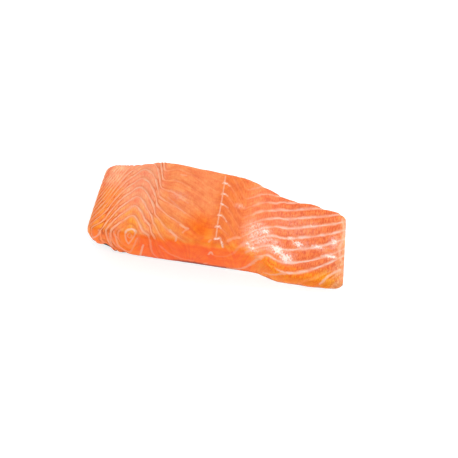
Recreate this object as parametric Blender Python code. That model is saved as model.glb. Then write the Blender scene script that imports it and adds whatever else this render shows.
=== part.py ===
"""Salmon loin: one boneless portion cut across a fillet, lying on its skin side.

X runs from the thick dorsal edge (-X) to the thin belly edge (+X), Y runs along the fish between the two
knife cuts, and Z is up. The origin is under the middle of the portion, on the surface that it lies on.
The solid is a loft: one closed section loop for each station along X, bridged to the next. The relief of
the muscle flakes is pressed into every loop along the septa, the thin sheets that part the flakes.
"""

import math

import bmesh
import bpy
from mathutils import Vector, noise

MM = 0.001

# Driving dimensions, in metres
LENGTH = 160 * MM
WIDTH = 55 * MM
THICKNESS = 32 * MM

# The outline of the portion. A station is a share of half the length, -1 at the dorsal edge and 1 at the
# belly edge. Each knot is a station and a share: of the width for the two cuts, where the knife ran along
# X, and of the thickness for the height of the flesh side along each cut and of the skin side.
FRONT_CUT = (
    (-1.0, -0.44), (-0.88, -0.455), (0.0, -0.44), (0.29, -0.438), (0.52, -0.505), (0.7, -0.505),
    (1.0, -0.475),
)
BACK_CUT = (
    (-1.0, 0.46), (-0.82, 0.48), (-0.52, 0.5), (-0.25, 0.5), (0.06, 0.496), (0.3, 0.487), (0.52, 0.46),
    (0.7, 0.475), (0.82, 0.455), (1.0, 0.435),
)
FLESH_AT_FRONT = (
    (-1.0, 0.9), (-0.86, 0.93), (-0.55, 0.9), (0.03, 0.97), (0.19, 0.92), (0.38, 0.65), (0.54, 0.4),
    (0.7, 0.31), (1.0, 0.26),
)
FLESH_AT_BACK = (
    (-1.0, 0.74), (-0.78, 0.8), (-0.47, 1.06), (-0.1, 0.99), (0.14, 0.915), (0.32, 0.68), (0.49, 0.47),
    (0.7, 0.36), (1.0, 0.27),
)
SKIN_SIDE = ((-1.0, 0.36), (-0.9, 0.15), (-0.76, 0.0), (1.0, 0.0))

# The two ends lean in plan: how far short of the full length each is at the back cut
DORSAL_LEAN = 2.0 * MM
BELLY_LEAN = 4.5 * MM

# How far from each end, as a share of half the length, the section starts to round off, how much of its
# height is left at the very end, where in its height it closes to, and how far its sides draw in
DORSAL_ROUNDING = 0.10
BELLY_ROUNDING = 0.08
END_HEIGHT = 0.3
END_MIDDLE = 0.35
END_INSET = 3.5 * MM

# Corner radii of a section, the largest share of its height that a radius takes, and how far its straight
# sides swell
TOP_CORNER = 3.2 * MM
BOTTOM_CORNER = 1.8 * MM
MOST_OF_HEIGHT = 0.45
CUT_SWELL = 0.7 * MM
FLESH_SWELL = 0.6 * MM

# The septa, in millimetres. They are nested sheets, numbered towards the back cut, and each knot is an X
# and a value there. SEPTUM is the path of the one numbered BASE along the flesh side: the arches round the
# dorsal cone, the steep bundle beside them, the quiet middle, the peak on the pin-bone line and the long
# belly stripes. SPACING is the distance to the next septum, and CROWDING how much closer they get behind.
BASE = 6
SEPTUM = (
    (-80, -19.5), (-72.4, -10.7), (-69, -3.5), (-66.5, 3.3), (-62, 12.5), (-57.5, 17.8), (-52.5, 21.7),
    (-48, 19.5), (-44, 14.5), (-41, 8), (-38.8, 2.6), (-36, 0.8), (-26, -3.3), (-17, -7.7), (-6, -12.2),
    (-1, -11), (5.3, -14.8), (9.5, -19.3), (13, -22.8), (17, -19.5), (22.5, -13.2), (28.5, -8), (33.4, -5),
    (38.4, -3.9), (57.6, 2.9), (70, 8.3), (76, 12.5), (80, 17),
)
SPACING = (
    (-80, 4.2), (-76, 4.3), (-72.4, 5.2), (-68, 7), (-53, 6.7), (-45, 7.3), (-39.5, 6), (-30, 8.1),
    (-18, 8.6), (-1, 7.8), (9, 7), (24, 6.6), (31, 6.45), (36, 7.1), (50, 7.7), (80, 6.6),
)
CROWDING = (
    (-80, 0), (-72.4, 0.004), (-67, 0.022), (-62, 0.02), (-50, 0), (20, 0), (42, 0.006), (80, 0.004),
)

# Over the belly the septa below number CLOSE_BELOW lie closer by a share, fully from the second X onwards
CLOSE_BELOW = 4
CLOSE_SHARE = 0.5
CLOSE_X = (20, 35)

# How the septa go down from the flesh side: they close as rings round the axis of the dorsal cone, CONE_X,
# which is blunt over CONE_BLUNT on each side and narrower than deep, and elsewhere they gain or lose this
# much of a number for each millimetre of depth
CONE_X = -52.5
CONE_BLUNT = 1.5
CONE_NARROWNESS = ((-80, 0.36), (-45, 0.36), (-38, 0), (80, 0))
DEPTH_SLOPE = (
    (-80, 0), (-44, 0), (-30, -0.03), (-20, -0.02), (-12, 0.03), (3, 0.04), (9, -0.03), (80, -0.03),
)

# Relief, in millimetres: the depth of the groove along a septum by X, how narrow the groove is, the height
# over which the relief fades out above the flat skin side, and the slow unevenness of the rest
GROOVE = (
    (-80, 0.4), (-68, 0.35), (-60, 0.5), (-45, 0.45), (-39, 0.25), (-30, 0.4), (-17, 0.18), (0, 0.15),
    (12, 0.2), (26, 0.5), (45, 0.65), (72, 0.6), (80, 0.3),
)
GROOVE_NARROWNESS = 2
SKIN_EDGE = 2.5
UNEVENNESS = 0.45
UNEVEN_OVER = 17

# The torn lower edge of the dorsal end, in millimetres: where along each axis it starts and where it is
# torn in full, the depth of the grooves there, how ragged it is, and its notch
TORN_X = (-48, -62)
TORN_Y = (0, -20)
TORN_Z = (16, 0)
TORN_DEPTH = 1.3
RAGGED = 1.0
RAGGED_OVER = 3.5
NOTCH_X = -69.5
NOTCH_REACH = 7
NOTCH_DEPTH = 2.2

# Mesh density: stations along the length, how much they crowd towards its ends, and points on each side of
# a section
STATIONS = 70
END_CROWDING = 0.28
FLESH_POINTS = 31
CUT_POINTS = 9
SKIN_POINTS = 8
CORNER_STEPS = 3


def gentle_slope(a, b):
    """The slope at a knot between two stretches of slope a and b, which keeps a curve from overshooting."""
    return 0.0 if a * b <= 0 else 2 * a * b / (a + b)


def curve_at(knots, place):
    """The value at a place of the smooth curve through the knots, level beyond the first and the last."""
    place = min(max(place, knots[0][0]), knots[-1][0])
    slopes = [(v1 - v0) / (x1 - x0) for (x0, v0), (x1, v1) in zip(knots, knots[1:])]
    i = min(sum(place > x for x, _ in knots[1:]), len(slopes) - 1)
    (x0, v0), (x1, v1) = knots[i], knots[i + 1]
    start = gentle_slope(slopes[max(i - 1, 0)], slopes[i])
    end = gentle_slope(slopes[i], slopes[min(i + 1, len(slopes) - 1)])
    step = x1 - x0
    t = (place - x0) / step
    return (
        (1 + 2 * t) * (1 - t) ** 2 * v0 + t * (1 - t) ** 2 * step * start
        + t * t * (3 - 2 * t) * v1 - t * t * (1 - t) * step * end
    )


def ramp(low, high, value):
    """0 at low, 1 at high and smooth between; low may be the larger of the two."""
    t = min(max((value - low) / (high - low), 0.0), 1.0)
    return t * t * (3 - 2 * t)


def rounding(station):
    """The share of its full height and width that a section has, less than 1 near the two ends."""
    reach = DORSAL_ROUNDING if station < 0 else BELLY_ROUNDING
    into = max(0.0, (abs(station) - 1 + reach) / reach)
    return math.sqrt(max(0.0, 1 - into * into))


def section_corners(station):
    """The four corners of a section, in its own Y and Z: front skin, front flesh, back flesh, back skin."""
    left = rounding(station)
    low = THICKNESS * curve_at(SKIN_SIDE, station)
    front_top = THICKNESS * curve_at(FLESH_AT_FRONT, station)
    back_top = THICKNESS * curve_at(FLESH_AT_BACK, station)
    share = END_HEIGHT + (1 - END_HEIGHT) * left
    middle = low + END_MIDDLE * ((front_top + back_top) / 2 - low)
    inset = (1 - left) * END_INSET
    front = WIDTH * curve_at(FRONT_CUT, station) + inset
    back = WIDTH * curve_at(BACK_CUT, station) - inset
    return [
        Vector((front, middle + (low - middle) * share)),
        Vector((front, middle + (front_top - middle) * share)),
        Vector((back, middle + (back_top - middle) * share)),
        Vector((back, middle + (low - middle) * share)),
    ]


def section_outline(station):
    """The points of a smooth section, in order round it: each side, then the rounded corner at its end."""
    corners = section_corners(station)
    height = min(corners[1].y, corners[2].y) - corners[0].y
    radii = [
        min(radius, MOST_OF_HEIGHT * height)
        for radius in (BOTTOM_CORNER, TOP_CORNER, TOP_CORNER, BOTTOM_CORNER)
    ]
    counts = (CUT_POINTS, FLESH_POINTS, CUT_POINTS, SKIN_POINTS)
    swells = (CUT_SWELL, FLESH_SWELL, CUT_SWELL, 0.0)
    points = []
    for side in range(4):
        here, there, after = (corners[(side + k) % 4] for k in range(3))
        along, onward = (there - here).normalized(), (after - there).normalized()
        outward = Vector((-along.y, along.x))
        radius = radii[(side + 1) % 4]
        first = here + along * radii[side]
        last = there - along * radius
        for k in range(1, counts[side] + 1):
            share = k / (counts[side] + 1)
            points.append(first.lerp(last, share) + outward * swells[side] * 4 * share * (1 - share))
        for k in range(CORNER_STEPS + 1):
            turn = math.pi / 2 * k / CORNER_STEPS
            points.append(
                there - along * radius * (1 - math.sin(turn)) + onward * radius * (1 - math.cos(turn))
            )
    return points


def along_length(station, across):
    """X of a point of a section: the stations fan out so that the two ends lean."""
    to_back = across / WIDTH + 0.5
    lean = DORSAL_LEAN if station < 0 else BELLY_LEAN
    return station * (LENGTH / 2 - lean * to_back * abs(station))


def depth_below_flesh(x, y, z):
    """How far a point lies below the flesh side."""
    station = 2 * x / LENGTH
    to_back = y / WIDTH + 0.5
    front_top = curve_at(FLESH_AT_FRONT, station)
    back_top = curve_at(FLESH_AT_BACK, station)
    return max(0.0, THICKNESS * (front_top + (back_top - front_top) * to_back) - z)


def septum_number_at(x, y):
    """The septum number at a place on the flesh side, in millimetres."""
    beyond = y - curve_at(SEPTUM, x)
    crowded = beyond if x > 0 else max(beyond, 0.0)
    number = BASE + beyond / curve_at(SPACING, x) * (1 + curve_at(CROWDING, x) * crowded)
    return number - CLOSE_SHARE * ramp(*CLOSE_X, x) * max(0.0, CLOSE_BELOW - number)


def septum_number(point):
    """The septum number anywhere in the portion: a whole number lies on a septum, the rest in a flake."""
    x, y, z = (value / MM for value in point)
    depth = depth_below_flesh(*point) / MM
    aside = x - CONE_X
    round_axis = math.hypot(aside, curve_at(CONE_NARROWNESS, x) * depth)
    left = septum_number_at(CONE_X - round_axis, y)
    right = septum_number_at(CONE_X + round_axis, y)
    return left + (right - left) * ramp(-CONE_BLUNT, CONE_BLUNT, aside) + curve_at(DEPTH_SLOPE, x) * depth


def uneven(place, over):
    """Smooth noise from 0 to 1, with features this many millimetres across."""
    return 0.5 + 0.5 * noise.noise(place / over)


def relief(point):
    """How far the surface is pressed in at a point, by the groove along a septum, tears and unevenness."""
    place = Vector(point) / MM
    x, y, z = place
    torn = ramp(*TORN_X, x) * ramp(*TORN_Y, y) * ramp(*TORN_Z, z)
    off_skin = ramp(0, SKIN_EDGE, z)
    groove = curve_at(GROOVE, x) * (1 - torn) + TORN_DEPTH * torn
    on_septum = (0.5 + 0.5 * math.cos(2 * math.pi * septum_number(point))) ** GROOVE_NARROWNESS
    pressed = groove * on_septum * max(torn, off_skin) + UNEVENNESS * off_skin * uneven(place, UNEVEN_OVER)
    pressed += torn * RAGGED * uneven(place, RAGGED_OVER)
    pressed += torn * NOTCH_DEPTH * ramp(NOTCH_REACH, 0, abs(x - NOTCH_X))
    return MM * pressed


def section_loop(station):
    """A section as it is built, with the relief pressed in square to its outline."""
    outline = section_outline(station)
    loop = []
    for before, here, after in zip(outline[-1:] + outline[:-1], outline, outline[1:] + outline[:1]):
        point = Vector((along_length(station, here.x), here.x, here.y))
        along = (after - before).normalized()
        inward = Vector((0, along.y, -along.x))
        loop.append(point + inward * relief(point))
    return loop


def stations():
    """Stations from -1 to 1, closer together at the two rounded ends."""
    even = [-1 + 2 * i / (STATIONS - 1) for i in range(STATIONS)]
    return [(1 - END_CROWDING) * s + END_CROWDING * math.sin(s * math.pi / 2) for s in even]


def loft(name, loops):
    """A closed mesh object through the loops, each bridged to the next, with flat end caps."""
    mesh = bpy.data.meshes.new(name)
    build = bmesh.new()
    rings = [[build.verts.new(p) for p in loop] for loop in loops]
    for ring, following in zip(rings, rings[1:]):
        for a, b, c, d in zip(ring, ring[1:] + ring[:1], following[1:] + following[:1], following):
            build.faces.new((a, b, c, d))
    build.faces.new(rings[0][::-1])
    build.faces.new(rings[-1])
    bmesh.ops.recalc_face_normals(build, faces=build.faces)
    build.to_mesh(mesh)
    build.free()
    made = bpy.data.objects.new(name, mesh)
    bpy.context.scene.collection.objects.link(made)
    return made


def flesh_material():
    """Raw salmon: a moist, saturated orange."""
    material = bpy.data.materials.new("salmon_flesh")
    material.use_nodes = True
    shader = material.node_tree.nodes["Principled BSDF"]
    shader.inputs["Base Color"].default_value = (1.0, 0.22, 0.07, 1.0)
    shader.inputs["Roughness"].default_value = 0.35
    shader.inputs["Metallic"].default_value = 0.0
    return material


def main():
    for obj in list(bpy.data.objects):
        bpy.data.objects.remove(obj)
    loin = loft("salmon_loin", [section_loop(s) for s in stations()])
    loin.data.materials.append(flesh_material())
    loin.data.shade_smooth()


main()
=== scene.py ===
"""Looks of the salmon loin: a finely modelled portion over the CAD solid, its materials, light and camera.

Lengths times MM are in metres; for the others, the comment above them names the unit. The outline of the
portion and the path of its septa are worked out as in the CAD, on a much finer grid, and each vertex carries
what the material needs to know about its place: the number of the septum there, how strong and wide its line
is, the fat on it and the tint of the flesh.
"""

import math

import bpy
import numpy as np
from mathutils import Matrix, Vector, noise


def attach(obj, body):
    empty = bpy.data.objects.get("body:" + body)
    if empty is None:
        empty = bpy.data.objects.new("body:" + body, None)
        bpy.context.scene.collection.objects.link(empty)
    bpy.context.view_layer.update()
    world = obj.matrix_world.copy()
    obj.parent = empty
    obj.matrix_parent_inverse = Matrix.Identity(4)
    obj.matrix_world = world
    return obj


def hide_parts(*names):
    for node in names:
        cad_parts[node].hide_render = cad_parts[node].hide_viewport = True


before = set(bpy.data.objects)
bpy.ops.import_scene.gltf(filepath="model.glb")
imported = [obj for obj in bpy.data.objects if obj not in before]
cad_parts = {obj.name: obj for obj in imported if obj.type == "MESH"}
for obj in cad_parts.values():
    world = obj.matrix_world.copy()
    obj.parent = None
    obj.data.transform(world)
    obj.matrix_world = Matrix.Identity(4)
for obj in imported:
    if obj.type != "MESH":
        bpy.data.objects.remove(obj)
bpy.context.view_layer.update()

MM = 0.001
LENGTH = 160 * MM
WIDTH = 55 * MM
THICKNESS = 32 * MM

# The outline of the portion, as in the CAD: a station is a share of half the length, and each knot is a
# station and a share of the width or the thickness
FRONT_CUT = (
    (-1.0, -0.44), (-0.88, -0.455), (0.0, -0.44), (0.29, -0.438), (0.52, -0.505), (0.7, -0.505),
    (1.0, -0.475),
)
BACK_CUT = (
    (-1.0, 0.46), (-0.82, 0.48), (-0.52, 0.5), (-0.25, 0.5), (0.06, 0.496), (0.3, 0.487), (0.52, 0.46),
    (0.7, 0.475), (0.82, 0.455), (1.0, 0.435),
)
FLESH_AT_FRONT = (
    (-1.0, 0.9), (-0.86, 0.93), (-0.55, 0.9), (0.03, 0.97), (0.19, 0.92), (0.38, 0.65), (0.54, 0.4),
    (0.7, 0.31), (1.0, 0.26),
)
FLESH_AT_BACK = (
    (-1.0, 0.74), (-0.78, 0.8), (-0.47, 1.06), (-0.1, 0.99), (0.14, 0.915), (0.32, 0.68), (0.49, 0.47),
    (0.7, 0.36), (1.0, 0.27),
)
SKIN_SIDE = ((-1.0, 0.36), (-0.9, 0.15), (-0.76, 0.0), (1.0, 0.0))
DORSAL_LEAN = 2.0 * MM
BELLY_LEAN = 4.5 * MM
DORSAL_ROUNDING = 0.10
BELLY_ROUNDING = 0.08
END_HEIGHT = 0.3
END_MIDDLE = 0.35
END_INSET = 3.5 * MM
TOP_CORNER = 3.2 * MM
BOTTOM_CORNER = 1.8 * MM
MOST_OF_HEIGHT = 0.45
CUT_SWELL = 0.7 * MM
FLESH_SWELL = 0.6 * MM

# The septa, in millimetres, as in the CAD
BASE = 6
SEPTUM = (
    (-80, -19.5), (-72.4, -10.7), (-69, -3.5), (-66.5, 3.3), (-62, 12.5), (-57.5, 17.8), (-52.5, 21.7),
    (-48, 19.5), (-44, 14.5), (-41, 8), (-38.8, 2.6), (-36, 0.8), (-26, -3.3), (-17, -7.7), (-6, -12.2),
    (-1, -11), (5.3, -14.8), (9.5, -19.3), (13, -22.8), (17, -19.5), (22.5, -13.2), (28.5, -8), (33.4, -5),
    (38.4, -3.9), (57.6, 2.9), (70, 8.3), (76, 12.5), (80, 17),
)
SPACING = (
    (-80, 4.2), (-76, 4.3), (-72.4, 5.2), (-68, 7), (-53, 6.7), (-45, 7.3), (-39.5, 6), (-30, 8.1),
    (-18, 8.6), (-1, 7.8), (9, 7), (24, 6.6), (31, 6.45), (36, 7.1), (50, 7.7), (80, 6.6),
)
CROWDING = (
    (-80, 0), (-72.4, 0.004), (-67, 0.022), (-62, 0.02), (-50, 0), (20, 0), (42, 0.006), (80, 0.004),
)
CLOSE_BELOW = 4
CLOSE_SHARE = 0.5
CLOSE_X = (20, 35)
CONE_X = -52.5
CONE_BLUNT = 1.5
CONE_NARROWNESS = ((-80, 0.36), (-45, 0.36), (-38, 0), (80, 0))
DEPTH_SLOPE = (
    (-80, 0), (-44, 0), (-30, -0.03), (-20, -0.02), (-12, 0.03), (3, 0.04), (9, -0.03), (80, -0.03),
)

# The relief of the CAD, in millimetres, with shallower grooves and a fine unevenness under the film
GROOVE = (
    (-80, 0.4), (-68, 0.35), (-60, 0.5), (-45, 0.45), (-39, 0.25), (-30, 0.4), (-17, 0.18), (0, 0.15),
    (12, 0.2), (26, 0.5), (45, 0.65), (72, 0.6), (80, 0.3),
)
GROOVE_NARROWNESS = 2
FILM_FILLS = 0.6
FILM_UNEVENNESS = 0.4
FILM_UNEVEN_OVER = 2.4
SKIN_EDGE = 2.5
UNEVENNESS = 0.45
UNEVEN_OVER = 17
TORN_X = (-48, -62)
TORN_Y = (0, -20)
TORN_Z = (16, 0)
TORN_DEPTH = 1.3
RAGGED = 1.0
RAGGED_OVER = 3.5
NOTCH_X = -69.5
NOTCH_REACH = 7
NOTCH_DEPTH = 2.2
INSET = 0.03

# Mesh density: stations, points on the front cut, flesh side, back cut and skin side, steps of a rounded
# corner, and rings that close each end
STATIONS = 396
END_CROWDING = 0.28
SIDE_POINTS = (46, 116, 42, 14)
CORNER_STEPS = 4
CAP_RINGS = 5


def srgb(red, green, blue):
    """A linear colour from the 0 to 255 values that a screen shows."""
    def linear(value):
        value /= 255
        return value / 12.92 if value <= 0.04045 else ((value + 0.055) / 1.055) ** 2.4
    return (linear(red), linear(green), linear(blue), 1.0)


def curve(knots, places):
    """The values at an array of places of the smooth curve through the knots."""
    xs = np.array([k[0] for k in knots], float)
    values = np.array([k[1] for k in knots], float)
    steps = np.diff(xs)
    slopes = np.diff(values) / steps
    before, after = slopes[:-1], slopes[1:]
    turns = before * after > 0
    inner = np.where(turns, 2 * before * after / np.where(turns, before + after, 1), 0)
    tangents = np.concatenate([slopes[:1], inner, slopes[-1:]])
    places = np.clip(places, xs[0], xs[-1])
    i = np.clip(np.searchsorted(xs, places, side="right") - 1, 0, len(steps) - 1)
    step = steps[i]
    t = (places - xs[i]) / step
    return (
        (1 + 2 * t) * (1 - t) ** 2 * values[i] + t * (1 - t) ** 2 * step * tangents[i]
        + t * t * (3 - 2 * t) * values[i + 1] - t * t * (1 - t) * step * tangents[i + 1]
    )


def ramp(low, high, values):
    """0 at low, 1 at high and smooth between; low may be the larger of the two."""
    t = np.clip((values - low) / (high - low), 0.0, 1.0)
    return t * t * (3 - 2 * t)


def unit(vectors):
    return vectors / np.linalg.norm(vectors, axis=-1, keepdims=True)


def noise_at(points_mm, over, seed=0.0):
    """Smooth noise from -1 to 1 at each point, with features about this many millimetres across."""
    shift = Vector((seed, seed * 1.7, -seed))
    return np.array([noise.noise(Vector(p) + shift) for p in (points_mm / over).tolist()])


def section_corners(station):
    """The corners of the sections, in their own Y and Z: front skin, front flesh, back flesh, back skin."""
    reach = np.where(station < 0, DORSAL_ROUNDING, BELLY_ROUNDING)
    into = np.clip((np.abs(station) - 1 + reach) / reach, 0, 1)
    left = np.sqrt(1 - into * into)
    low = THICKNESS * curve(SKIN_SIDE, station)
    front_top = THICKNESS * curve(FLESH_AT_FRONT, station)
    back_top = THICKNESS * curve(FLESH_AT_BACK, station)
    share = END_HEIGHT + (1 - END_HEIGHT) * left
    middle = low + END_MIDDLE * ((front_top + back_top) / 2 - low)
    inset = (1 - left) * END_INSET
    front = WIDTH * curve(FRONT_CUT, station) + inset
    back = WIDTH * curve(BACK_CUT, station) - inset
    heights = [middle + (height - middle) * share for height in (low, front_top, back_top, low)]
    return [np.stack([y, z], -1) for y, z in zip((front, front, back, back), heights)]


def outlines(station):
    """The smooth sections as an array of stations, points and (Y, Z)."""
    corners = section_corners(station)
    height = np.minimum(corners[1][:, 1], corners[2][:, 1]) - corners[0][:, 1]
    radii = [
        np.minimum(radius, MOST_OF_HEIGHT * height)[:, None]
        for radius in (BOTTOM_CORNER, TOP_CORNER, TOP_CORNER, BOTTOM_CORNER)
    ]
    swells = (CUT_SWELL, FLESH_SWELL, CUT_SWELL, 0.0)
    points = []
    for side in range(4):
        here, there, after = (corners[(side + k) % 4] for k in range(3))
        along, onward = unit(there - here), unit(after - there)
        outward = np.stack([-along[:, 1], along[:, 0]], -1)
        radius = radii[(side + 1) % 4]
        first = here + along * radii[side]
        last = there - along * radius
        for share in np.arange(1, SIDE_POINTS[side] + 1) / (SIDE_POINTS[side] + 1):
            points.append(first + (last - first) * share + outward * swells[side] * 4 * share * (1 - share))
        for turn in np.linspace(0, math.pi / 2, CORNER_STEPS + 1):
            points.append(
                there - along * radius * (1 - math.sin(turn)) + onward * radius * (1 - math.cos(turn))
            )
    return np.stack(points, 1)


def along_length(station, across):
    """X of the points of a section: the stations fan out so that the two ends lean."""
    to_back = across / WIDTH + 0.5
    lean = np.where(station < 0, DORSAL_LEAN, BELLY_LEAN)
    return station * (LENGTH / 2 - lean * to_back * np.abs(station))


def depth_below_flesh(x, y, z):
    """How far points lie below the flesh side."""
    station = 2 * x / LENGTH
    front_top = curve(FLESH_AT_FRONT, station)
    back_top = curve(FLESH_AT_BACK, station)
    return np.maximum(0.0, THICKNESS * (front_top + (back_top - front_top) * (y / WIDTH + 0.5)) - z)


def septum_number_at(x, y):
    """The septum numbers at places on the flesh side, in millimetres."""
    beyond = y - curve(SEPTUM, x)
    crowded = np.where(x > 0, beyond, np.maximum(beyond, 0.0))
    number = BASE + beyond / curve(SPACING, x) * (1 + curve(CROWDING, x) * crowded)
    return number - CLOSE_SHARE * ramp(*CLOSE_X, x) * np.maximum(0.0, CLOSE_BELOW - number)


def septum_numbers(points):
    """The septum numbers anywhere in the portion: a whole number lies on a septum, the rest in a flake."""
    depth = depth_below_flesh(*points.T) / MM
    x, y, _ = points.T / MM
    aside = x - CONE_X
    round_axis = np.hypot(aside, curve(CONE_NARROWNESS, x) * depth)
    left = septum_number_at(CONE_X - round_axis, y)
    right = septum_number_at(CONE_X + round_axis, y)
    return left + (right - left) * ramp(-CONE_BLUNT, CONE_BLUNT, aside) + curve(DEPTH_SLOPE, x) * depth


def torn_share(x, y, z):
    """How torn the portion is at a place, 1 at the lower front edge of the dorsal end."""
    return ramp(*TORN_X, x) * ramp(*TORN_Y, y) * ramp(*TORN_Z, z)


def relief(points, numbers, film_and_sheen):
    """How far the surface is pressed in at each point, in metres."""
    places = points / MM
    x, y, z = places.T
    torn = torn_share(x, y, z)
    off_skin = ramp(0, SKIN_EDGE, z)
    groove = curve(GROOVE, x) * (1 - torn) * (1 - FILM_FILLS * film_and_sheen) + TORN_DEPTH * torn
    on_septum = (0.5 + 0.5 * np.cos(2 * np.pi * numbers)) ** GROOVE_NARROWNESS
    pressed = groove * on_septum * np.maximum(torn, off_skin) + INSET
    pressed += FILM_UNEVENNESS * film_and_sheen * (0.5 + 0.5 * noise_at(places, FILM_UNEVEN_OVER, seed=9.0))
    pressed += UNEVENNESS * off_skin * (0.5 + 0.5 * noise_at(places, UNEVEN_OVER))
    pressed += torn * RAGGED * (0.5 + 0.5 * noise_at(places, RAGGED_OVER))
    pressed += torn * NOTCH_DEPTH * ramp(NOTCH_REACH, 0, np.abs(x - NOTCH_X))
    return MM * pressed


def portion_mesh():
    """Points, quads and smooth outward directions of the portion, from the stations' closed loops."""
    even = np.linspace(-1, 1, STATIONS)
    station = (1 - END_CROWDING) * even + END_CROWDING * np.sin(even * math.pi / 2)
    loops = outlines(station)
    along = unit(np.roll(loops, -1, axis=1) - np.roll(loops, 1, axis=1))
    outward = np.stack([np.zeros(loops.shape[:2]), -along[..., 1], along[..., 0]], -1)
    x = along_length(station[:, None], loops[..., 0])
    rings = np.concatenate([x[..., None], loops], -1)
    caps = []
    for end, sign in ((0, -1), (-1, 1)):
        centre = rings[end].mean(axis=0)
        inner = [centre + (rings[end] - centre) * (1 - k / (CAP_RINGS + 1)) for k in range(1, CAP_RINGS + 1)]
        caps.append((np.array(inner), np.broadcast_to([sign, 0, 0], (CAP_RINGS,) + rings[end].shape)))
    rings = np.concatenate([caps[0][0][::-1], rings, caps[1][0]])
    outward = np.concatenate([caps[0][1], outward, caps[1][1]])
    count = rings.shape[1]
    index = np.arange(len(rings) * count).reshape(len(rings), count)
    following = np.roll(index, -1, axis=1)
    quads = np.stack([index[:-1], index[1:], following[1:], following[:-1]], -1).reshape(-1, 4)
    return rings.reshape(-1, 3), outward.reshape(-1, 3), quads, index[0], index[-1][::-1]


def gradient(points, outward):
    """How fast the septum number changes along the surface, in numbers for each millimetre."""
    step = 0.2 * MM
    change = np.stack([
        septum_numbers(points + offset) - septum_numbers(points - offset) for offset in np.eye(3) * step
    ], -1) / (2 * step / MM)
    change -= outward * np.sum(change * outward, axis=-1, keepdims=True)
    return np.linalg.norm(change, axis=-1)


def near(x, y, centre, reach):
    """1 at a centre in the plane, fading smoothly to 0 at the reach (both in millimetres, X and Y)."""
    distance = np.hypot((x - centre[0]) / reach[0], (y - centre[1]) / reach[1])
    return ramp(1, 0, distance)


def within(values, *places):
    """The product of shares: each is a ramp of a named value, or "near" with a patch's centre and reach."""
    share = 1.0
    for name, first, second in places:
        if name == "near":
            share = share * near(values["x"], values["y"], first, second)
        else:
            share = share * ramp(first, second, values[name])
    return share


# The septa's white lines by X, all in millimetres: how strong on the flesh side, half their width, and how
# dark the painted shade of the grooves right beside them is
LINE_STRENGTH = (
    (-80, 0.5), (-74, 0.75), (-68, 0.8), (-60, 0.75), (-52, 0.9), (-44, 0.9), (-40, 0.65), (-36, 0.5),
    (-30, 0.6), (-24, 0.35), (-17, 0.05), (-8, 0.0), (-1, 0.0), (2, 0.14), (5, 0.1), (9, 0.04), (13, 0.12),
    (20, 0.45), (28, 0.7), (36, 0.9), (45, 1.0), (68, 1.0), (75, 0.8), (80, 0.5),
)
LINE_HALF_WIDTH = (
    (-80, 0.55), (-60, 0.6), (-44, 0.65), (-36, 0.6), (-20, 0.7), (-5, 0.6), (0, 0.7), (8, 0.7), (26, 0.95),
    (45, 1.12), (70, 1.1), (80, 0.9),
)
LINE_PAINTED_SHADE = (
    (-80, 0.9), (-70, 1.25), (-62, 1.1), (-56, 0.3), (-46, 0.4), (-41, 0.9), (-34, 0.25), (20, 0.1),
    (40, 0.35), (80, 0.35),
)

# Where the lines fade, in millimetres: how much of their strength goes, and where (see within)
BACK_CORNER = (("x", -58, -64), ("y", -8, 8))
LINE_FADES = (
    (0.4, *BACK_CORNER),
    # the far flares beside the arches
    (0.75, ("x", -40, -36), ("x", -15, -20), ("number", 6.4, 7.6)),
    # inside the cone's ring, which strokes draw
    (1.0, ("number", 0.5, 0.3), ("from_cone", 8, 4)),
    # below the roll's upper edge, and along the front of the belly
    (1.0, ("x", 42, 36), ("number", 3.6, 3.4), ("x", 10, 20)),
    (0.9, ("x", 36, 42), ("number", 2.6, 2.4)),
    # the back of the belly
    (0.25, ("x", 20, 30), ("y", 8, 16)),
)
CUT_FADE = 0.5
MIDDLE_CUT_FADE = 0.45
# how much of the painted shade beside the lines goes at the back corner
CORNER_PAINTED_SHADE_FADE = 0.5

# How strongly the muscle fibres show, by X in millimetres, and how much less on the cuts
GRAIN = (
    (-80, 0.5), (-60, 0.5), (-45, 0.35), (-30, 0.2), (0, 0.2), (14, 0.4), (30, 0.8), (45, 1.0), (80, 1.0),
)
CUT_GRAIN_FADE = 0.4

# How strongly the fine streaks beside the septa show, by X in millimetres, how many fill a flake, and how
# many millimetres long they are
STREAKS = ((-80, 0.4), (-45, 0.3), (-36, 0.5), (-8, 0.45), (2, 0.4), (14, 0.5), (30, 0.3), (80, 0.2))
STREAKS_PER_FLAKE = 4
STREAK_LENGTH = 8

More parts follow.
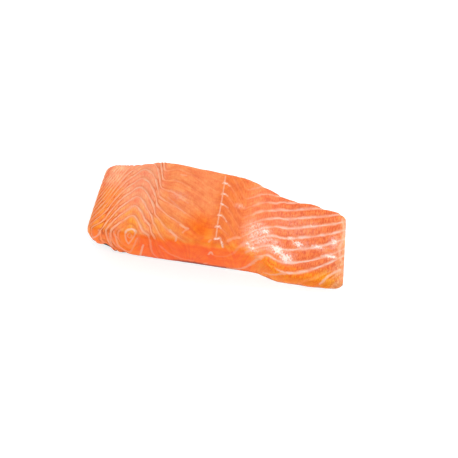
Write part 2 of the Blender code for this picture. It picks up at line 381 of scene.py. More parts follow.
# Strokes of fat that aren't septa, in millimetres: how strong each is, half its width, and its path, which
# may lie STROKE_LIFT off the surface; points over STROKE_REACH outside the path's box aren't measured
STROKE_LIFT = 1.5
STROKE_REACH = 5.0
NO_STROKE = 9.0
STROKES = (
    # the line of the pin bones, and a fork where each bone came out
    (0.6, 0.6, ((-1.8, 24.3, 30.8), (-1.4, 16.8, 31.2), (-1, 7.5, 31.4), (-0.8, -3.3, 31.2),
                (-0.5, -11.1, 31), (0.1, -18.9, 30.8))),
    (0.6, 0.65, ((-2.6, 18.4, 31), (-1.4, 19.8, 30.9), (1.8, 17.6, 30.9))),
    (0.55, 0.65, ((-1.9, 10.6, 31.3), (-1, 11.9, 31.2), (2, 10.2, 31.1))),
    (0.45, 0.6, ((-0.9, 4.3, 31.3), (2, 3.2, 31.1), (3.8, 2.2, 30.9))),
    (0.5, 0.6, ((-1.7, -4.1, 31.2), (-0.8, -3.1, 31.2), (2, -4.3, 31.1), (4.4, -7.2, 30.9))),
    (0.6, 0.65, ((-1.6, -12.1, 31), (-0.5, -10.7, 31), (1.9, -12.3, 31))),
    (0.55, 0.8, ((-0.9, -20, 30.7), (2.2, -18.7, 30.9), (3.6, -21, 30.7), (5.4, -23.6, 28.6))),
    # a bright point in each fork: a painted glint on the wet bone channel
    (0.9, 0.95, ((-1.7, 19.4, 31), (0, 18.9, 30.9))),
    (0.9, 0.85, ((-1.3, 11.5, 31.2), (0.2, 11.2, 31.2))),
    (0.85, 0.8, ((-0.9, 4.3, 31.3), (0.4, 3.8, 31.2))),
    (0.9, 0.85, ((-1.2, -3.5, 31.2), (0.5, -3.6, 31.2))),
    (0.9, 0.9, ((-1, -11.3, 31), (0.6, -11.3, 31))),
    (0.95, 1.0, ((-0.3, -19.7, 30.8), (2.2, -18.9, 30.9))),
    (0.85, 0.9, ((3.6, -21, 30.7), (5, -23.2, 29))),
    (0.45, 0.9, ((-3.7, -22.3, 30.2), (-2.7, -21, 30.5))),
    # hooked ends of two septa
    (0.5, 0.9, ((-22.7, -13.6, 30.4), (-19.7, -15.4, 30.4), (-17.4, -15.7, 30.6))),
    (0.3, 0.9, ((-17.6, -15.9, 30.6), (-20.3, -18.6, 30.2))),
    (0.5, 0.9, ((-28.2, -18, 29.6), (-25.7, -20.4, 29.4), (-23.6, -21.8, 29.4), (-23.7, -23.9, 27.7))),
    # short fatty streaks in the middle
    (0.2, 1.0, ((-32.7, 7.9, 32.1), (-29.2, 5.8, 31.8), (-20.8, 1, 31.7))),
    (0.2, 0.9, ((-33.5, 2.6, 31.8), (-28.5, -0.9, 31.4), (-21.4, -5.9, 31.2))),
    (0.3, 0.8, ((-28.6, 19.2, 32.8), (-25.5, 19.2, 32.8))),
    # on the front cut: the ring and eye of the cone, nested lines left and right of it, and marks
    (0.7, 1.0, ((-54.6, -23.6, 28), (-54.1, -22.5, 28.6), (-52.8, -21.6, 28.8), (-50.5, -20.9, 28.5),
                (-48.6, -21.7, 28.5))),
    (0.55, 0.7, ((-54.6, -23.6, 28), (-54.7, -24.6, 25.3), (-54.4, -25.1, 21.1), (-53.3, -25.3, 16.6))),
    (0.5, 0.7, ((-48.6, -21.7, 28.5), (-48.6, -23.2, 27.7), (-49.9, -24.6, 24.7), (-51.8, -25.1, 20),
                (-53.3, -25.3, 16.6))),
    (0.35, 0.6, ((-50.4, -24.2, 26.2), (-52.2, -24.6, 23.5), (-53.5, -24.4, 25.7), (-52.1, -23.6, 27.6),
                 (-50.4, -24.2, 26.2))),
    (0.6, 0.8, ((-76.1, -24.2, 15.8), (-72.9, -25.2, 20.3), (-70.6, -24.8, 24.5), (-70.8, -24.4, 27.3))),
    (0.35, 0.75, ((-66.5, -23.8, 28.5), (-65.8, -25.5, 16.1), (-64.8, -24.4, 6.2))),
    (0.4, 0.8, ((-64.2, -24.7, 26.4), (-64.3, -24.8, 10.5), (-62.6, -24, 1.4))),
    (0.45, 0.9, ((-61.7, -24.2, 27.9), (-60.7, -25.1, 22.8), (-60, -25.4, 13.3), (-57.3, -25.2, 7.1),
                 (-53.3, -24.9, 4.1))),
    (0.3, 0.8, ((-53.3, -24.9, 4.1), (-50.3, -24.8, 14.1), (-47.6, -24.2, 24.4))),
    (0.6, 0.85, ((-43.9, -24.8, 18), (-45, -25.2, 13.4), (-47.1, -24.5, 1.6))),
    (0.25, 1.0, ((-39.5, -24.4, 24.8), (-39, -25.2, 10.4), (-35.9, -24.6, 2.1))),
    (0.2, 1.2, ((-33.5, -24.8, 19.7), (-27.7, -24.9, 11), (-21.8, -24.4, 6.7), (-14, -24.4, 5.5))),
    (0.6, 0.75, ((-3.6, -24.6, 18), (-2.1, -24.4, 21.9), (-0.9, -24.6, 18.3))),
    (0.35, 1.1, ((-6.6, -24.2, 3.7), (-5, -24.3, 5))),
    (0.12, 1.1, ((-0.9, -24.6, 18.3), (2.1, -24.5, 17.3), (7, -24.4, 19.1), (11.8, -23.9, 24))),
    (0.2, 1.2, ((11.8, -23.9, 24), (14, -22.6, 28.5), (18.3, -16.5, 27.6))),
    (0.35, 1.3, ((7.5, -19.5, 30.5), (10.2, -17.4, 30.1), (13.5, -15.8, 29.5))),
    # the belly's front edge and its end
    (0.5, 1.5, ((8.2, -24, 2), (14.5, -23.8, 3.1), (19.5, -24.2, 8.4), (23.1, -24.3, 14.7),
                (26, -23.9, 20.2), (28.8, -22.3, 21))),
    (0.5, 1.1, ((31, -26, 7.6), (36, -27, 9.8), (40.3, -27.1, 11.8), (44, -26, 11.5))),
    (0.65, 0.9, ((64, -9.4, 9.5), (67.3, -8.6, 9.1), (73, -8.8, 9.2))),
    (0.65, 1.1, ((65.7, -26.6, 6), (67.8, -24.8, 8.5), (70.9, -20.9, 8.8), (76.5, -16, 7.7))),
    (0.5, 1.2, ((73.5, 19, 7.8), (75.3, 13, 7.3), (75.7, 5.1, 7.4), (74.4, -2.8, 8.5), (76.3, -9.4, 7.4))),
)

# Where a film of moisture and fat lies, with a painted pinkish sheen on it, and where painted white
# highlights
# lie, in millimetres: the middle, the reach along X and Y, and how thick the film or how strong the
# highlights are
FILM_AND_SHEEN_PLACES = (
    ((25, -9), (14, 13), 0.9), ((34, -12), (12, 9), 0.7), ((43, -15), (9, 8), 0.6), ((22, -19), (8, 6), 0.7),
    ((51, -5), (11, 6), 0.5), ((61, -4), (10, 4), 0.6), ((70.6, 1), (6, 8), 0.7), ((69, -8.3), (7, 4), 0.8),
    ((56, 10), (9, 4), 0.4), ((10.5, 5.3), (5, 3), 0.5), ((-27, 5), (9, 5), 0.3), ((46, 6), (22, 14), 0.25),
)
PAINTED_HIGHLIGHT_PLACES = (
    ((27.8, -4.8), (7, 5), 0.85), ((37, -13.2), (9, 6.5), 1.1), ((42.6, -16.3), (9, 6), 1.1),
    ((22, -9), (9, 8), 0.5), ((33, -9), (12, 8), 0.5), ((50, -11), (9, 4), 0.5),
    ((43.9, -2.7), (7, 3.5), 0.8), ((49, -4.9), (7.5, 5), 0.95), ((61.1, -3.7), (11, 3), 0.85),
    ((70.7, 1.9), (4.5, 4.5), 1.0), ((69.9, -8.5), (7.5, 3), 1.05), ((55.4, 9.8), (10, 2.5), 0.6),
    ((10.5, 5.3), (5, 2), 0.6), ((18.7, -17.7), (4, 3), 0.8), ((22.1, -19.4), (4.5, 3), 0.8),
)

# Tints of the flesh
MIDDLE = srgb(233, 132, 78)
ARCHES = srgb(243, 151, 110)
DORSAL = srgb(250, 140, 44)
DORSAL_BACK = srgb(250, 172, 128)
CONE = srgb(238, 141, 62)
DEEP = srgb(236, 108, 18)
PIN_SIDES = srgb(226, 115, 56)
BELLY = srgb(226, 114, 64)
ROLL = srgb(240, 128, 40)
YELLOW = srgb(240, 158, 24)
CUT = srgb(244, 97, 20)
CUT_RING = srgb(248, 118, 26)
# Painted light: lightens the rounded front edge, which the lamps behind the portion leave dull
EDGE_PAINTED_LIGHT = srgb(255, 134, 34)
MEMBRANE = srgb(224, 158, 112)
DARK_MUSCLE = srgb(140, 58, 48)

# The tints laid over MIDDLE, and those laid over the cut's tints: how much of each, and where (see within),
# in millimetres
FLESH_TINTS = (
    (ARCHES, 1.0, ("x", -34, -44)),
    (DORSAL, 1.0, ("x", -60, -68), ("y", 20, 0)),
    (DORSAL_BACK, 1.0, ("x", -60, -68), ("y", 4, 18)),
    (CONE, 1.0, ("near", (-53, -22), (13, 22))),
    (CONE, 0.8, ("near", (-33, -16), (12, 12))),
    (BELLY, 1.0, ("x", 14, 26)),
    (DEEP, 1.0, ("near", (-10, -14), (18, 17))),
    (PIN_SIDES, 1.0, ("x", -6, 0), ("x", 22, 12)),
)
TINTS_OVER_CUT = (
    (ROLL, 1.0, ("x", 20, 30), ("y", -19, -23)),
    (YELLOW, 0.9, ("near", (69, -23), (10, 8))),
    (MEMBRANE, 0.8, ("x", 70, 77)),
)

# The tint of the cuts, in millimetres: how far below the flesh side it starts and is full, first for a sharp
# and then for a soft edge; the X over which the edge turns soft; how far the edge wanders, and over what
# length. Then shares: how much of that a sharp edge wanders, how much of the ring's tint the belly's cut has,
# and how strong the painted light on the rounded front edge is where the edge is soft and where it is sharp
CUT_STARTS = (0.1, 0.7)
CUT_IS_FULL = (1.7, 5.5)
CUT_SOFTENS = (-28, -5)
CUT_WANDERS = ((1.6, 6), (0.7, 2.2))
SHARP_WANDERS = 0.2
RING_BY_BELLY = 0.4
SOFT_EDGE_PAINTED_LIGHT = 0.65
SHARP_EDGE_PAINTED_LIGHT = 0.35

# Dark muscle, in millimetres: the heights above the skin between which it fades in, the X of its middle, the
# distances from there between which it fades, and how much stays beyond; then the size of its specks on the
# torn corner, the values of the noise between which they show, and how much they cover
DARK_HEIGHT = (5, 1.5)
DARK_MIDDLE_X = -7
DARK_REACH = (24, 12)
LEAST_DARK = 0.15
SPECKS_OVER = 1.6
SPECKS_EDGE = (0.15, 0.5)
SPECKS_COVER = 0.7

# How golden the flesh is between the septa: how much, and where, in millimetres
GOLD_PLACES = (
    (0.9, ("near", (-55, -16), (30, 24))),
    (0.7, ("x", -60, -68), ("y", 18, 2)),
    (0.8, ("near", (-8, -16), (30, 14))),
    (0.5, ("near", (2, 10), (14, 24))),
    (0.8, ("x", 22, 32), ("y", -18, -23)),
    (0.25, ("x", 30, 40)),
)
GOLD_ON_CUTS = 0.3


def line_strength(values):
    """How strong the septa's lines are at each point."""
    strength = curve(LINE_STRENGTH, values["x"])
    for fade, *where in LINE_FADES:
        strength *= 1 - fade * within(values, *where)
    on_cut = within(values, ("depth", 1, 4), ("y", 0, -15))
    strength *= 1 - on_cut * (CUT_FADE + MIDDLE_CUT_FADE * within(values, ("x", -47, -40), ("x", 36, 30)))
    return np.clip(strength, 0, 1)


def smooth_path(path, steps=5):
    """The points of the smooth curve through a path's points."""
    path = np.array(path, float)
    before, after = 2 * path[:1] - path[1:2], 2 * path[-1:] - path[-2:-1]
    path = np.concatenate([before, path, after])
    t = np.arange(steps)[:, None] / steps
    parts = [
        b + 0.5 * t * (c - a + t * (2 * a - 5 * b + 4 * c - d + t * (3 * (b - c) + d - a)))
        for a, b, c, d in zip(path, path[1:], path[2:], path[3:])
    ]
    return np.concatenate(parts + [path[-2:-1]])


def strokes(points, outward):
    """The distance to the nearest stroke of fat as a share of its half width, and that stroke's strength."""
    nearest = np.full(len(points), NO_STROKE)
    strength = np.zeros(len(points))
    for its_strength, half_width, path in STROKES:
        path = smooth_path(path)
        low, high = path.min(axis=0) - STROKE_REACH, path.max(axis=0) + STROKE_REACH
        close = np.where(np.all((points > low) & (points < high), axis=1))[0]
        for start, end in zip(path, path[1:]):
            run = end - start
            share = np.clip((points[close] - start) @ run / (run @ run), 0, 1)
            offset = points[close] - start - share[:, None] * run
            lifted = np.clip(np.sum(offset * outward[close], axis=1), -STROKE_LIFT, STROKE_LIFT)
            away = np.linalg.norm(offset - outward[close] * lifted[:, None], axis=1) / half_width
            nearer = away < nearest[close]
            nearest[close[nearer]] = away[nearer]
            strength[close[nearer]] = its_strength
    return nearest, strength


def patches(places, x, y, depth):
    """How thick the film, with its painted sheen, or how strong the painted highlights are at each point,
    from their patches on the flesh side.
    """
    thick = np.max([amount * near(x, y, centre, reach) for centre, reach, amount in places], axis=0)
    return thick * ramp(4, 2, depth)


def goldness(values):
    """How golden the flesh is between the septa."""
    gold = sum(amount * within(values, *where) for amount, *where in GOLD_PLACES)
    on_top, on_cuts = within(values, ("depth", 4, 2)), within(values, ("depth", 2, 4))
    return np.clip(gold * on_top + GOLD_ON_CUTS * on_cuts, 0, 1)


def blend_in(colours, tint, share):
    return colours + (np.array(tint[:3]) - colours) * share[:, None]


def lay_tints(colours, rows, values):
    for tint, amount, *where in rows:
        colours = blend_in(colours, tint, amount * within(values, *where))
    return colours


def tints(values):
    """The colour of the flesh between the septa, with painted light on the rounded front edge."""
    x, y, z = values["x"], values["y"], values["z"]
    places = np.stack([x, y, z], -1)
    soft = ramp(*CUT_SOFTENS, x)
    wander = sum(reach * noise_at(places, over) for reach, over in CUT_WANDERS)
    wander *= SHARP_WANDERS + (1 - SHARP_WANDERS) * soft
    values = dict(values, uneven_depth=values["depth"] + wander)
    starts, full = (sharp + (blurred - sharp) * soft for sharp, blurred in (CUT_STARTS, CUT_IS_FULL))
    on_cut = within(values, ("uneven_depth", starts, full), ("x", -79, -74))
    like_ring = within(values, ("x", -44, -50), ("y", 0, -20)) + RING_BY_BELLY * within(values, ("x", -4, 8))
    # painted light on the rounded front edge, strongest where the cut's edge is soft
    on_brightened_edge = within(values, ("uneven_depth", -0.5, 0.8), ("uneven_depth", 6, 2), ("y", -14, -22))
    on_brightened_edge *= within(values, ("x", 40, 30))
    painted_light_share = np.maximum(SOFT_EDGE_PAINTED_LIGHT * soft, SHARP_EDGE_PAINTED_LIGHT * within(values, ("x", -44, -32)))
    colours = np.tile(np.array(MIDDLE[:3]), (len(x), 1))
    colours = lay_tints(colours, FLESH_TINTS, values)
    colours = blend_in(colours, CUT, on_cut)
    colours = blend_in(colours, CUT_RING, on_cut * like_ring)
    colours = lay_tints(colours, TINTS_OVER_CUT, values)
    colours = blend_in(colours, EDGE_PAINTED_LIGHT, on_brightened_edge * painted_light_share)
    by_skin = ramp(*DARK_HEIGHT, values["above_skin"])
    dark = by_skin * (LEAST_DARK + (1 - LEAST_DARK) * ramp(*DARK_REACH, np.abs(x - DARK_MIDDLE_X)))
    specks = ramp(*SPECKS_EDGE, noise_at(places, SPECKS_OVER, seed=5.0)) * torn_share(x, y, z)
    return blend_in(colours, DARK_MUSCLE, np.maximum(dark, SPECKS_COVER * specks))


def add_values(mesh, name, values):
    """Keeps a number for each vertex, for the material to read."""
    mesh.attributes.new(name, "FLOAT", "POINT").data.foreach_set("value", np.asarray(values, np.float32))


def add_colours(mesh, name, colours):
    flat = np.concatenate([colours, np.ones((len(colours), 1))], -1).astype(np.float32)
    mesh.attributes.new(name, "FLOAT_COLOR", "POINT").data.foreach_set("color", flat.ravel())


# A face has the skin's material where it is below this height and faces down at least this much
SKIN_BELOW = 20 * MM
SKIN_FACES_DOWN = -0.5


def make_portion():
    """The portion's mesh with what the flesh material reads, and the skin's material on its underside."""
    points, outward, quads, first_cap, last_cap = portion_mesh()
    numbers = septum_numbers(points)
    x, y, z = points.T / MM
    depth = depth_below_flesh(*points.T) / MM
    above_skin = z - THICKNESS / MM * curve(SKIN_SIDE, 2 * points[:, 0] / LENGTH)
    values = {
        "x": x, "y": y, "z": z, "depth": depth, "above_skin": above_skin, "number": numbers,
        "from_cone": np.abs(x - CONE_X),
    }
    # the wet film, whose mask also lays a painted pinkish sheen into the colour
    film_and_sheen = patches(FILM_AND_SHEEN_PLACES, x, y, depth)
    surface = points - outward * relief(points, numbers, film_and_sheen)[:, None]
    to_stroke, stroke_strength = strokes(points / MM, outward)
    mesh = bpy.data.meshes.new("salmon_portion")
    mesh.from_pydata(surface.tolist(), [], quads.tolist() + [first_cap.tolist(), last_cap.tolist()])
    kept = {
        "septum": numbers,
        "septum_rate": gradient(points, outward),
        "line_half_width": curve(LINE_HALF_WIDTH, x),
        "line_strength": line_strength(values),
        # how dark the painted shade of the grooves beside the lines is
        "line_painted_shade": curve(LINE_PAINTED_SHADE, x) * (1 - CORNER_PAINTED_SHADE_FADE * within(values, *BACK_CORNER)),
        "to_stroke": to_stroke,
        "stroke_strength": stroke_strength,
        "film_and_sheen": film_and_sheen,
        # painted highlights: white that the material lays into the flesh colour
        "painted_highlights": patches(PAINTED_HIGHLIGHT_PLACES, x, y, depth),
        "gold": goldness(values),
        "grain": curve(GRAIN, x) * (1 - CUT_GRAIN_FADE * within(values, ("depth", 2, 4))),
        "streaks": curve(STREAKS, x),
    }
    for name, its_values in kept.items():
        add_values(mesh, name, its_values)
    add_colours(mesh, "flesh_tint", tints(values))
    mesh.shade_smooth()
    portion = bpy.data.objects.new("salmon_portion", mesh)
    bpy.context.scene.collection.objects.link(portion)
    mesh.materials.append(flesh_material())
    mesh.materials.append(skin_material())
    heights, facing = surface[quads, 2].mean(axis=1), outward[quads, 2].mean(axis=1)
    is_skin = (heights < SKIN_BELOW) & (facing < SKIN_FACES_DOWN)
    mesh.polygons.foreach_set("material_index", np.append(is_skin, [False, False]).astype(np.int32))
    mesh.update()
    return portion


class Nodes:
    """Short calls for building a material's nodes."""

    def __init__(self, name):
        self.material = bpy.data.materials.new(name)
        self.material.use_nodes = True
        self.tree = self.material.node_tree
        self.shader = self.tree.nodes["Principled BSDF"]

    def add(self, kind, **settings):
        node = self.tree.nodes.new(kind)
        for key, value in settings.items():
            setattr(node, key, value)
        return node

    def feed(self, socket, value):
        if isinstance(value, bpy.types.NodeSocket):
            self.tree.links.new(value, socket)
        else:
            socket.default_value = value

    def math(self, operation, *values):
        node = self.add("ShaderNodeMath", operation=operation)
        for socket, value in zip(node.inputs, values):
            self.feed(socket, value)
        return node.outputs[0]

    def times(self, product, *others):
        for other in others:
            product = self.math("MULTIPLY", product, other)
        return product

    def mix(self, share, first, second, blend="MIX"):
        node = self.add("ShaderNodeMix", data_type="RGBA", blend_type=blend)
        self.feed(node.inputs["Factor"], share)
        self.feed(node.inputs["A"], first)
        self.feed(node.inputs["B"], second)
        return node.outputs["Result"]

    def spread(self, value, low, high, to_low=0.0, to_high=1.0):
        """Maps a value from one range to another, smoothly and without passing its ends."""
        node = self.add("ShaderNodeMapRange", interpolation_type="SMOOTHSTEP")
        for socket, given in zip(node.inputs, (value, low, high, to_low, to_high)):
            self.feed(socket, given)
        return node.outputs["Result"]

    def attribute(self, name, output="Fac"):
        return self.add("ShaderNodeAttribute", attribute_name=name).outputs[output]

    def place(self, scale):
        """The place on the object, in metres times a scale for each axis."""
        node = self.add("ShaderNodeMapping")
        self.feed(node.inputs["Vector"], self.add("ShaderNodeTexCoord").outputs["Object"])
        node.inputs["Scale"].default_value = scale
        return node.outputs["Vector"]

    def along_x(self):
        """X of the place on the object, in metres."""
        node = self.add("ShaderNodeSeparateXYZ")
        self.feed(node.inputs[0], self.place((1, 1, 1)))
        return node.outputs["X"]

    def noise(self, vector, detail=3.0, roughness=0.5):
        node = self.add("ShaderNodeTexNoise")
        self.feed(node.inputs["Vector"], vector)
        node.inputs["Scale"].default_value = 1.0
        node.inputs["Detail"].default_value = detail
        node.inputs["Roughness"].default_value = roughness
        return node.outputs["Fac"]

    def bump(self, height, distance, onto=None):
        node = self.add("ShaderNodeBump")
        self.feed(node.inputs["Height"], height)
        node.inputs["Distance"].default_value = distance
        node.inputs["Strength"].default_value = 1.0
        if onto is not None:
            self.feed(node.inputs["Normal"], onto)
        return node.outputs["Normal"]

    def set(self, **values):
        for key, value in values.items():
            self.feed(self.shader.inputs[key.replace("_", " ")], value)


def per_mm(across, along=None, down=None):
    """A texture scale that gives features of about these sizes in millimetres along X, Y and Z."""
    along, down = along or across, down or across
    return (1 / (across * MM), 1 / (along * MM), 1 / (down * MM))


FAT_WHITE = srgb(230, 194, 177)
LINE_PALE = srgb(236, 182, 152)
# The fat's white, whitest at the bright point in each fork, which is a painted glint on the wet bone channel
FORK_WHITE_AND_GLINT = srgb(242, 212, 196)
# Painted sheen: a pinkish-white haze of highlight laid into the colour over the wet film
PAINTED_SHEEN_PINK = srgb(238, 184, 166)
# Painted highlight: white laid into the colour where the light's highlights fall on the wet flesh
PAINTED_HIGHLIGHT_WHITE = srgb(250, 236, 226)
HALO_PALE = srgb(240, 158, 118)
# Painted shade: the darkening in the grooves right beside the septa's lines
PAINTED_SHADE_DARK = srgb(204, 82, 16)
GOLD = (1.0, 0.95, 0.35, 1.0)

# The lines in the flesh material: how far they wobble, in septum numbers, and the least rate that is divided
# by; between which distances a line fades out and the painted shade of the groove beside it comes and goes,
# in half widths; the same in millimetres for the pale halo round it and the gold between lines; and how much
# each covers
WOBBLE = 0.2
FINE_WOBBLE = 0.1
LEAST_RATE = 0.02
LINE_EDGE = (0.05, 1.2)
PAINTED_SHADE_COMES = (0.7, 1.3)
PAINTED_SHADE_GOES = (1.4, 2.8)
HALO_EDGE = (0.0, 2.6)
GOLD_EDGE = (0.6, 2.0)
LINE_COVER = 0.9
PAINTED_SHADE_COVER = 0.75
HALO_COVER = 0.45

# The same for strokes, whose edges the fine wobble moves, and for the painted highlights, which the sparkle
# breaks up
STROKE_EDGE = (0.2, 1.1)
STROKE_RAGGEDNESS = 1.2
PAINTED_HIGHLIGHT_EDGE = (1.3, 1.9)
PAINTED_HIGHLIGHT_BREAKUP = 1.6
PAINTED_HIGHLIGHT_COVER = 0.85

# Values mapped from one range to another: how a noise varies the lines' width and breaks the lines up, how
# the film and its painted sheen hide them, how the mottle shows in the gold, and how the sparkle breaks up
# the painted sheen
WIDTH_VARIES = (0.3, 0.7, 0.55, 1.3)
LINE_BREAKS = (0.35, 0.6, 0.4, 1.0)
FILM_AND_SHEEN_HIDE_LINES = (0.3, 1.0, 1.0, 0.4)
GOLD_VARIES = (0.3, 0.6, 0.3, 0.9)
PAINTED_SHEEN_BREAKS = (0.36, 0.58, 0.05, 0.9)

# Where most values of a noise lie, how deep the bumps are, and how wet the film is
NOISE_RANGE = (0.35, 0.66)
FIBRE_BUMP = 0.06 * MM
PIT_BUMP = 0.12 * MM
FILM_BUMP = 0.6 * MM
FILM_WETNESS = 0.3


def line_shares(n, fine_wobble, film_and_sheen):
    """How much there is of the septum's line, of the painted shade of its groove and of its halo, and of the
    gold between lines.
    """
    wobble = n.math("SUBTRACT", n.noise(n.place(per_mm(9))), 0.5)
    moved = n.math("ADD", n.attribute("septum"), n.times(wobble, WOBBLE))
    moved = n.math("ADD", moved, n.times(fine_wobble, FINE_WOBBLE))
    to_line = n.math("PINGPONG", moved, 0.5)
    distance = n.math("DIVIDE", to_line, n.math("MAXIMUM", n.attribute("septum_rate"), LEAST_RATE))
    varied = n.spread(n.noise(n.place(per_mm(6))), *WIDTH_VARIES)
    across = n.math("DIVIDE", distance, n.times(n.attribute("line_half_width"), varied))
    broken = n.spread(n.noise(n.place(per_mm(6, 4)), detail=4.0), *LINE_BREAKS)
    strength = n.times(n.attribute("line_strength"), broken, n.spread(film_and_sheen, *FILM_AND_SHEEN_HIDE_LINES))
    line = n.times(n.spread(across, *LINE_EDGE, 1.0, 0.0), strength)
    beside = n.times(n.spread(across, *PAINTED_SHADE_COMES), n.spread(across, *PAINTED_SHADE_GOES, 1.0, 0.0))
    painted_shade = n.times(beside, n.attribute("line_painted_shade"), broken)
    halo = n.times(n.spread(distance, *HALO_EDGE, 1.0, 0.0), n.attribute("line_strength"))
    between = n.times(n.spread(distance, *GOLD_EDGE), n.attribute("gold"))
    return line, painted_shade, halo, between


def flesh_material():
    """Raw flesh: tinted flakes, white septa and fat with painted shade beside them, fibres that run along the
    fish, and a wet film with painted sheen and highlights.
    """
    n = Nodes("salmon_flesh")
    fine_wobble = n.math("SUBTRACT", n.noise(n.place(per_mm(1.8)), detail=4.0), 0.5)
    film_and_sheen = n.attribute("film_and_sheen")
    line, painted_shade, halo, between = line_shares(n, fine_wobble, film_and_sheen)
    ragged = n.math("ADD", n.attribute("to_stroke"), n.times(fine_wobble, STROKE_RAGGEDNESS))
    stroke = n.times(n.spread(ragged, *STROKE_EDGE, 1.0, 0.0), n.attribute("stroke_strength"))
    fibres = n.noise(n.place(per_mm(0.55, 3.5, 0.55)), detail=2.0, roughness=0.6)
    with_septa = n.add("ShaderNodeCombineXYZ")
    n.feed(with_septa.inputs["X"], n.times(n.attribute("septum"), STREAKS_PER_FLAKE))
    n.feed(with_septa.inputs["Y"], n.times(n.along_x(), 1 / (STREAK_LENGTH * MM)))
    streaks = n.noise(with_septa.outputs["Vector"], roughness=0.6)
    mottle = n.noise(n.place(per_mm(5)), detail=4.0)
    colour = n.attribute("flesh_tint", "Color")
    golden = n.times(between, n.spread(mottle, *GOLD_VARIES))
    colour = n.mix(golden, colour, GOLD, "MULTIPLY")
    patterns = (
        (mottle, 1.0, 0.44, 0.58),
        (streaks, n.attribute("streaks"), 0.36, 0.67),
        (fibres, n.attribute("grain"), 0.3, 0.68),
    )
    for pattern, share, darkest, lightest in patterns:
        colour = n.mix(share, colour, n.spread(pattern, *NOISE_RANGE, darkest, lightest), "OVERLAY")
    colour = n.mix(n.times(halo, HALO_COVER), colour, HALO_PALE)
    # Painted shade of the grooves beside the lines
    colour = n.mix(n.times(painted_shade, PAINTED_SHADE_COVER), colour, PAINTED_SHADE_DARK)
    whiter = n.spread(n.attribute("line_half_width"), 0.7, 1.2)
    colour = n.mix(n.times(line, LINE_COVER), colour, n.mix(whiter, LINE_PALE, FAT_WHITE))
    # the strongest strokes, the points in the forks, take the white of the painted glint
    clearest = n.spread(n.attribute("stroke_strength"), 0.55, 0.85)
    colour = n.mix(stroke, colour, n.mix(clearest, LINE_PALE, FORK_WHITE_AND_GLINT))
    sparkle = n.noise(n.place(per_mm(1.1, 1.3, 1.1)), roughness=0.7)
    # Painted sheen: the pinkish-white haze of highlight over the film, broken up by the sparkle
    painted_sheen = n.times(film_and_sheen, n.spread(sparkle, *PAINTED_SHEEN_BREAKS))
    colour = n.mix(painted_sheen, colour, PAINTED_SHEEN_PINK)
    # Painted highlights: white laid into the colour in patches, broken up by the sparkle
    painted_highlights = n.math("ADD", n.attribute("painted_highlights"), n.times(sparkle, PAINTED_HIGHLIGHT_BREAKUP))
    colour = n.mix(n.times(n.spread(painted_highlights, *PAINTED_HIGHLIGHT_EDGE), PAINTED_HIGHLIGHT_COVER), colour, PAINTED_HIGHLIGHT_WHITE)
    normal = n.bump(fibres, FIBRE_BUMP)
    normal = n.bump(n.noise(n.place(per_mm(1.3)), detail=4.0), PIT_BUMP, onto=normal)
    normal = n.bump(n.times(sparkle, film_and_sheen), FILM_BUMP, onto=normal)
    wet = n.times(n.spread(film_and_sheen, 0.0, 0.5), FILM_WETNESS)
    n.set(
        Base_Color=colour, Normal=normal, Roughness=n.spread(wet, 0.0, 1.0, 0.5, 0.25), IOR=1.36,
        Specular_IOR_Level=0.25, Subsurface_Weight=0.12, Subsurface_Scale=2 * MM,
        Subsurface_Radius=(1.0, 0.32, 0.14), Coat_Weight=wet, Coat_Roughness=0.18, Coat_IOR=1.45,
    )
    return n.material


# The skin: its colours, the X over which it turns silver and its spots start, and the depth of its scales
SKIN_DARK = srgb(74, 86, 92)
SKIN_SILVER = srgb(206, 206, 200)
SCALE_EDGE_DARK = srgb(58, 64, 70)
SCALE_EDGE_COVER = 0.45
SPOT_DARK = srgb(38, 42, 46)
SKIN_TURNS_SILVER = (-55 * MM, 50 * MM)
SKIN_TURNS_UNEVENLY = 30 * MM
SPOTS_START = (0.0, -30 * MM)
SCALE_BUMP = 0.3 * MM


def skin_material():
    """The scaled skin underneath: dark by the back, silver by the belly."""
    n = Nodes("salmon_skin")
    x = n.along_x()
    scales = n.add("ShaderNodeTexVoronoi", feature="F1")
    n.feed(scales.inputs["Vector"], n.place(per_mm(2.0, 2.6, 40)))
    scales.inputs["Scale"].default_value = 1.0
    scale_edge = n.spread(scales.outputs["Distance"], 0.25, 0.75)
    shifted = n.math("ADD", x, n.times(n.noise(n.place(per_mm(12))), SKIN_TURNS_UNEVENLY))
    colour = n.mix(n.spread(shifted, *SKIN_TURNS_SILVER), SKIN_DARK, SKIN_SILVER)
    colour = n.mix(n.times(scale_edge, SCALE_EDGE_COVER), colour, SCALE_EDGE_DARK)
    spots = n.spread(n.noise(n.place(per_mm(6)), detail=1.0), 0.66, 0.72)
    colour = n.mix(n.times(spots, n.spread(x, *SPOTS_START)), colour, SPOT_DARK)
    n.set(
        Base_Color=colour, Metallic=0.35, Roughness=n.spread(scale_edge, 0.0, 1.0, 0.25, 0.5),
        Normal=n.bump(scales.outputs["Distance"], SCALE_BUMP), Coat_Weight=0.4, Coat_Roughness=0.15,
    )
    return n.material


def floor_material():
    n = Nodes("studio_floor")
    grain = n.noise(n.place(per_mm(30)))
    n.set(
        Base_Color=n.mix(grain, srgb(205, 205, 205), srgb(200, 200, 200)), Roughness=0.8,
        Emission_Color=(1, 1, 1, 1), Emission_Strength=0.6,
    )
    return n.material


def direction(azimuth, elevation):
    """The unit direction from the object towards a viewer; azimuth 0 is on the -Y side."""
    a, e = math.radians(azimuth), math.radians(elevation)
    return Vector((math.sin(a) * math.cos(e), -math.cos(a) * math.cos(e), math.sin(e)))


def aim(obj, target):
    obj.rotation_euler = (target - obj.location).to_track_quat("-Z", "Y").to_euler()


# The camera: the azimuth and elevation it looks from in degrees, its lens and sensor in millimetres
CAMERA_TARGET = Vector((5 * MM, -2 * MM, 12 * MM))
CAMERA_ANGLES = (10, 62)
CAMERA_DISTANCE = 0.671
CAMERA_LENS = 85
CAMERA_SENSOR = 36

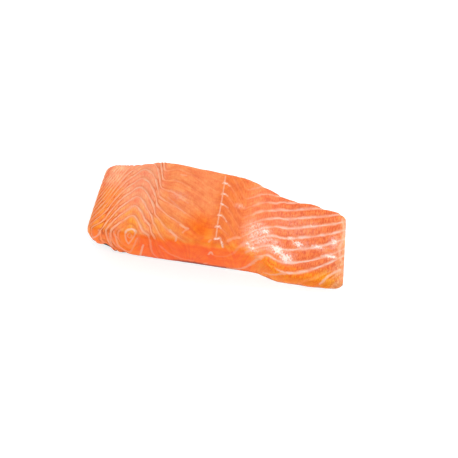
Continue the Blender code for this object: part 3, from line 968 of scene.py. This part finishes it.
# The studio, in metres and watts: the floor and the white surround, and for each light its name, the
# direction it comes from, its size and its power
FLOOR_HALF = 3.0
FLOOR_Z = -0.2 * MM
SURROUND_STRENGTH = 0.9
LIGHT_DISTANCE = 0.9
LIGHTS = (
    ("low_window", (0.75, 0.48, 0.44), 0.2, 1.6),
    ("side_window", (0.51, 0.4, 0.76), 0.17, 1.1),
    ("ceiling", (0.2, 0.43, 0.88), 0.2, 1.0),
)


def make_camera():
    data = bpy.data.cameras.new("camera")
    data.lens = CAMERA_LENS
    data.sensor_width = CAMERA_SENSOR
    data.dof.use_dof = False
    camera = bpy.data.objects.new("camera", data)
    camera.location = CAMERA_TARGET + direction(*CAMERA_ANGLES) * CAMERA_DISTANCE
    aim(camera, CAMERA_TARGET)
    bpy.context.scene.collection.objects.link(camera)
    bpy.context.scene.camera = camera


def area_light(name, towards, size, power):
    data = bpy.data.lights.new(name, "AREA")
    data.shape = "DISK"
    data.size = size
    data.energy = power
    light = bpy.data.objects.new(name, data)
    light.location = CAMERA_TARGET + Vector(towards).normalized() * LIGHT_DISTANCE
    aim(light, CAMERA_TARGET)
    bpy.context.scene.collection.objects.link(light)


def make_studio():
    floor_mesh = bpy.data.meshes.new("studio_floor")
    corners = [(x * FLOOR_HALF, y * FLOOR_HALF, 0) for x, y in ((-1, -1), (1, -1), (1, 1), (-1, 1))]
    floor_mesh.from_pydata(corners, [], [(0, 1, 2, 3)])
    floor_mesh.materials.append(floor_material())
    floor = bpy.data.objects.new("studio_floor", floor_mesh)
    floor.location.z = FLOOR_Z
    bpy.context.scene.collection.objects.link(floor)
    world = bpy.data.worlds.new("studio")
    world.use_nodes = True
    background = world.node_tree.nodes["Background"]
    background.inputs["Color"].default_value = (1, 1, 1, 1)
    background.inputs["Strength"].default_value = SURROUND_STRENGTH
    bpy.context.scene.world = world
    for light in LIGHTS:
        area_light(*light)
    bpy.context.scene.view_settings.view_transform = "Standard"


make_camera()
make_studio()
portion = make_portion()
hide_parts("salmon_loin")
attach(portion, "root")
